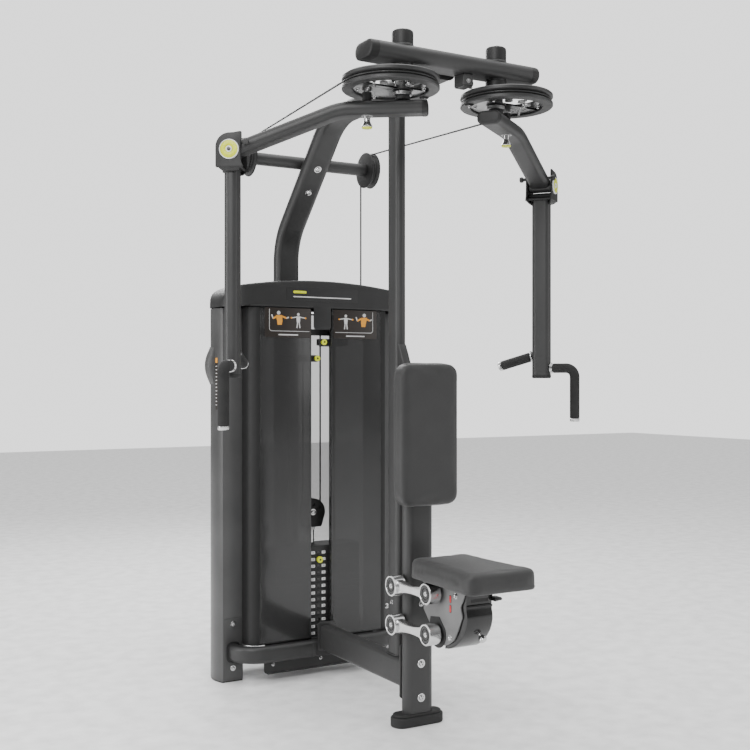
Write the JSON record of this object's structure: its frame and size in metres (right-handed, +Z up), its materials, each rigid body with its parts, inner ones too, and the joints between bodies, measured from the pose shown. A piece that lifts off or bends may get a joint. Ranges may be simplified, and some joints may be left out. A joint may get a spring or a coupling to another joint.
{
  "type": "pec deck machine",
  "caption": "Pin-loaded chest fly and rear delt machine: weight tower, overhead beam with eccentric cams, swinging drop arms, four-bar seat and back pad.",
  "frame": {"origin": "on the floor, centre of the front foot pad's underside", "axes": "+Z up, -Y the way the user faces, X across the machine with the right arm at +X"},
  "size_m": [1.321, 1.44, 2.095],
  "materials": {
    "frame_steel": "charcoal powder coat, fine texture",
    "black_plastic": "moulded, lightly textured",
    "smoked_shroud": "dark smoked, glossy",
    "rubber": "moulded black rubber",
    "grip_foam": "soft closed-cell foam sleeve",
    "chrome": "bright plated",
    "lime_accent": "yellow-green gloss",
    "polished_alloy": "polished casting",
    "stack_iron": "black painted",
    "upholstery": "charcoal synthetic leather, fine grain",
    "cable_sheath": "black nylon sheath"
  },
  "bodies": {
    "frame": {"back_pad": "upholstery", "cable_drop_left": "cable_sheath", "cable_drop_right": "cable_sheath", "crossbeam": "frame_steel", "crosshead": "frame_steel", "foot_pad": "rubber", "front_base_tube": "frame_steel", "front_post": "frame_steel", "gooseneck": "frame_steel", "guide_bar": "frame_steel", "guide_rod_left": "chrome", "guide_rod_right": "chrome", "header": "black_plastic", "kick_panel": "black_plastic", "lift_cable": "cable_sheath", "rear_base_tube": "frame_steel", "rear_mast": "frame_steel", "rear_shroud": "smoked_shroud", "shroud_left": "smoked_shroud", "shroud_right": "smoked_shroud", "side_holder": "black_plastic", "spine_tube": "frame_steel", "stack_base": "frame_steel", "upright_left": "frame_steel", "upright_right": "frame_steel", "weight_stack": "stack_iron"},
    "lifted_stack": {"head_plate": "stack_iron", "weight_plate_2": "stack_iron", "selector_rod": "chrome", "pulley_bracket": "black_plastic"},
    "floating_pulley": {"floating_pulley": "black_plastic"},
    "selector_pin": {"selector_pin": "lime_accent"},
    "cam_left": {"cam_left": "frame_steel"},
    "arm_left": {"arm_left": "frame_steel"},
    "pop_pin_left": {"pop_pin_left": "chrome"},
    "drop_arm_left": {"drop_arm_left": "frame_steel", "l_grip_left": "grip_foam", "short_grip_left": "grip_foam"},
    "cable_run_left": {"cable_run_left": "cable_sheath"},
    "guide_pulley_left": {"guide_pulley_left": "black_plastic"},
    "top_pulley_inner_left": {"top_pulley_inner_left": "black_plastic"},
    "top_pulley_outer_left": {"top_pulley_outer_left": "black_plastic"},
    "increment_left": {"increment_left": "stack_iron"},
    "cam_right": {"cam_right": "frame_steel"},
    "arm_right": {"arm_right": "frame_steel"},
    "pop_pin_right": {"pop_pin_right": "chrome"},
    "drop_arm_right": {"drop_arm_right": "frame_steel", "l_grip_right": "grip_foam", "short_grip_right": "grip_foam"},
    "cable_run_right": {"cable_run_right": "cable_sheath"},
    "guide_pulley_right": {"guide_pulley_right": "black_plastic"},
    "top_pulley_inner_right": {"top_pulley_inner_right": "black_plastic"},
    "top_pulley_outer_right": {"top_pulley_outer_right": "black_plastic"},
    "increment_right": {"increment_right": "stack_iron"},
    "upper_link": {"upper_link": "polished_alloy"},
    "lower_link": {"lower_link": "polished_alloy"},
    "seat": {"seat_carriage": "frame_steel", "belly_cover": "black_plastic", "seat_pad": "upholstery"},
    "seat_lever": {"seat_lever": "black_plastic"}
  },
  "joints": [
    {"name": "cam_right_turn", "type": "hinge", "parent": "frame", "child": "cam_right", "pos_m": [0.167, -0.188, 1.929], "axis": [0, 0, 1], "range_deg": [-110, 0]},
    {"name": "cam_left_turn", "type": "hinge", "parent": "frame", "child": "cam_left", "pos_m": [-0.167, -0.188, 1.929], "axis": [0, 0, 1], "range_deg": [0, 110]},
    {"name": "stack_lift", "type": "slide", "parent": "frame", "child": "lifted_stack", "axis": [0, 0, 1], "range_m": [0, 0.2505], "deforming": ["lift_cable"]},
    {"name": "floating_pulley_spin", "type": "hinge", "parent": "lifted_stack", "child": "floating_pulley", "pos_m": [0, 0.735, 0.586], "axis": [0, 1, 0], "continuous": true},
    {"name": "selector_pin_pull", "type": "slide", "parent": "lifted_stack", "child": "selector_pin", "axis": [0, -1, 0], "range_m": [0, 0.085]},
    {"name": "guide_pulley_left_spin", "type": "hinge", "parent": "frame", "child": "guide_pulley_left", "pos_m": [-0.2535, 0.756, 1.878], "axis": [1, 0, 0], "range_deg": [-258, 258]},
    {"name": "top_pulley_inner_left_spin", "type": "hinge", "parent": "frame", "child": "top_pulley_inner_left", "pos_m": [-0.0642, 0.74524, 1.2985], "axis": [-0.3414, -0.9399, 0], "range_deg": [-497.8, 497.8]},
    {"name": "top_pulley_outer_left_spin", "type": "hinge", "parent": "frame", "child": "top_pulley_outer_left", "pos_m": [-0.2253, 0.80376, 1.3585], "axis": [-0.3414, -0.9399, 0], "range_deg": [-497.8, 497.8]},
    {"name": "increment_left_slide", "type": "slide", "parent": "frame", "child": "increment_left", "axis": [0, 0, -1], "range_m": [0, 0.66]},
    {"name": "cable_run_left_swing", "type": "hinge", "parent": "frame", "child": "cable_run_left", "pos_m": [-0.2535, 0.752, 1.936], "axis": [0, 0, 1], "range_deg": [0, 4]},
    {"name": "arm_left_start", "type": "hinge", "parent": "cam_left", "child": "arm_left", "pos_m": [-0.167, -0.188, 1.863], "axis": [0, 0, 1], "range_deg": [-10, 20]},
    {"name": "pop_pin_left_pull", "type": "slide", "parent": "arm_left", "child": "pop_pin_left", "axis": [0, 0, -1], "range_m": [0, 0.012], "stiffness_N_per_m": 1200, "springref_m": -0.006},
    {"name": "drop_arm_left_swing", "type": "hinge", "parent": "arm_left", "child": "drop_arm_left", "pos_m": [-0.57609, 0.1038, 1.746], "axis": [-0.5807, -0.8141, 0], "range_deg": [-18, 18]},
    {"name": "guide_pulley_right_spin", "type": "hinge", "parent": "frame", "child": "guide_pulley_right", "pos_m": [0.2535, 0.756, 1.878], "axis": [1, 0, 0], "range_deg": [-258, 258]},
    {"name": "top_pulley_inner_right_spin", "type": "hinge", "parent": "frame", "child": "top_pulley_inner_right", "pos_m": [0.0642, 0.74524, 1.2985], "axis": [-0.3414, 0.9399, 0], "range_deg": [-497.8, 497.8]},
    {"name": "top_pulley_outer_right_spin", "type": "hinge", "parent": "frame", "child": "top_pulley_outer_right", "pos_m": [0.2253, 0.80376, 1.3585], "axis": [-0.3414, 0.9399, 0], "range_deg": [-497.8, 497.8]},
    {"name": "increment_right_slide", "type": "slide", "parent": "frame", "child": "increment_right", "axis": [0, 0, -1], "range_m": [0, 0.72]},
    {"name": "cable_run_right_swing", "type": "hinge", "parent": "frame", "child": "cable_run_right", "pos_m": [0.2535, 0.752, 1.936], "axis": [0, 0, 1], "range_deg": [-4, 0]},
    {"name": "arm_right_start", "type": "hinge", "parent": "cam_right", "child": "arm_right", "pos_m": [0.167, -0.188, 1.863], "axis": [0, 0, 1], "range_deg": [-20, 10]},
    {"name": "pop_pin_right_pull", "type": "slide", "parent": "arm_right", "child": "pop_pin_right", "axis": [0, 0, -1], "range_m": [0, 0.012], "stiffness_N_per_m": 1200, "springref_m": -0.006},
    {"name": "drop_arm_right_swing", "type": "hinge", "parent": "arm_right", "child": "drop_arm_right", "pos_m": [0.57609, 0.1038, 1.746], "axis": [0.5807, -0.8141, 0], "range_deg": [-18, 18]},
    {"name": "seat_height", "type": "hinge", "parent": "frame", "child": "upper_link", "pos_m": [0, 0, 0.438], "axis": [1, 0, 0], "range_deg": [-35, 15]},
    {"name": "lower_link_turn", "type": "hinge", "parent": "frame", "child": "lower_link", "pos_m": [0, 0, 0.318], "axis": [1, 0, 0], "range_deg": [-35, 15]},
    {"name": "seat_level", "type": "hinge", "parent": "upper_link", "child": "seat", "pos_m": [0, -0.197, 0.446], "axis": [1, 0, 0], "range_deg": [-15, 35]},
    {"name": "seat_lever_press", "type": "hinge", "parent": "seat", "child": "seat_lever", "pos_m": [0.0525, -0.331, 0.442], "axis": [0, 1, 0], "range_deg": [0, 15], "stiffness_Nm_per_rad": 4, "springref_deg": -8.59}
  ],
  "couplings": [
    {"joint": "cam_left_turn", "follows": "cam_right_turn", "ratio": -1},
    {"joint": "stack_lift", "follows": "cam_right_turn", "m_per_rad": -0.13022},
    {"joint": "guide_pulley_left_spin", "follows": "cam_right_turn", "ratio": -2.3362},
    {"joint": "top_pulley_inner_left_spin", "follows": "cam_right_turn", "ratio": -4.5167},
    {"joint": "top_pulley_outer_left_spin", "follows": "cam_right_turn", "ratio": 4.5167},
    {"joint": "cable_run_left_swing", "follows": "cam_right_turn", "ratio": -0.03094},
    {"joint": "guide_pulley_right_spin", "follows": "cam_right_turn", "ratio": -2.3362},
    {"joint": "top_pulley_inner_right_spin", "follows": "cam_right_turn", "ratio": -4.5167},
    {"joint": "top_pulley_outer_right_spin", "follows": "cam_right_turn", "ratio": 4.5167},
    {"joint": "cable_run_right_swing", "follows": "cam_right_turn", "ratio": 0.03094},
    {"joint": "lower_link_turn", "follows": "seat_height", "ratio": 1},
    {"joint": "seat_level", "follows": "seat_height", "ratio": -1}
  ]
}
